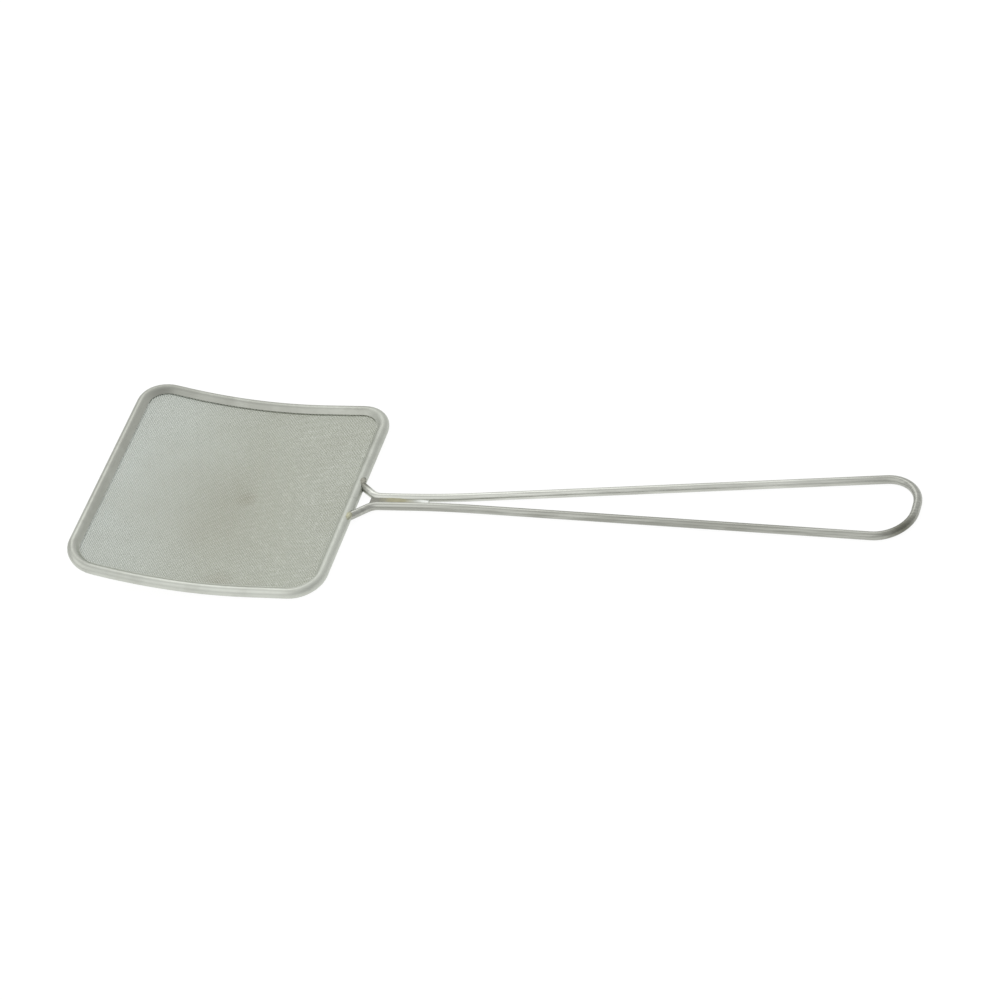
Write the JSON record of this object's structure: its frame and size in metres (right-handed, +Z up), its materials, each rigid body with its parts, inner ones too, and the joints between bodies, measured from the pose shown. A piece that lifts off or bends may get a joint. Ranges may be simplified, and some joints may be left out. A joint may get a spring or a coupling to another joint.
{
  "type": "square skimmer",
  "caption": "Square wire skimmer: a shallow curved head of woven wire cloth in a rolled rim, on a long double-wire handle that ends in a hanging loop.",
  "frame": {"origin": "centre of the bounding box's base, on the surface that the skimmer lies on", "axes": "+X along the handle towards the hanging loop, the head towards -X, +Z up out of the cloth's hollow side"},
  "size_m": [0.4497, 0.1456, 0.0266],
  "materials": {
    "drawn_wire": "bright drawn wire, lightly worn",
    "rolled_strip": "bright rolled strip with small dents",
    "cloth_wire": "fine woven wire, satin, with darker patches",
    "weld": "dull, heat-tinted filler",
    "braze": "rough, dull braze"
  },
  "bodies": {
    "root": {"frame_wire": "drawn_wire", "butt_weld": "weld", "rim_binding": "rolled_strip", "neck_weld": "weld", "neck_braze_left": "braze", "neck_braze_right": "braze", "warp_wire_01": "cloth_wire", "warp_wire_02": "cloth_wire", "warp_wire_03": "cloth_wire", "warp_wire_04": "cloth_wire", "warp_wire_05": "cloth_wire", "warp_wire_06": "cloth_wire", "warp_wire_07": "cloth_wire", "warp_wire_08": "cloth_wire", "warp_wire_09": "cloth_wire", "warp_wire_10": "cloth_wire", "warp_wire_11": "cloth_wire", "warp_wire_12": "cloth_wire", "warp_wire_13": "cloth_wire", "warp_wire_14": "cloth_wire", "warp_wire_15": "cloth_wire", "warp_wire_16": "cloth_wire", "weft_wire_01": "cloth_wire", "weft_wire_02": "cloth_wire", "weft_wire_03": "cloth_wire", "weft_wire_04": "cloth_wire", "weft_wire_05": "cloth_wire", "weft_wire_06": "cloth_wire", "weft_wire_07": "cloth_wire", "weft_wire_08": "cloth_wire", "weft_wire_09": "cloth_wire", "weft_wire_10": "cloth_wire", "weft_wire_11": "cloth_wire", "weft_wire_12": "cloth_wire", "weft_wire_13": "cloth_wire", "weft_wire_14": "cloth_wire", "weft_wire_15": "cloth_wire", "weft_wire_16": "cloth_wire"}
  },
  "joints": []
}
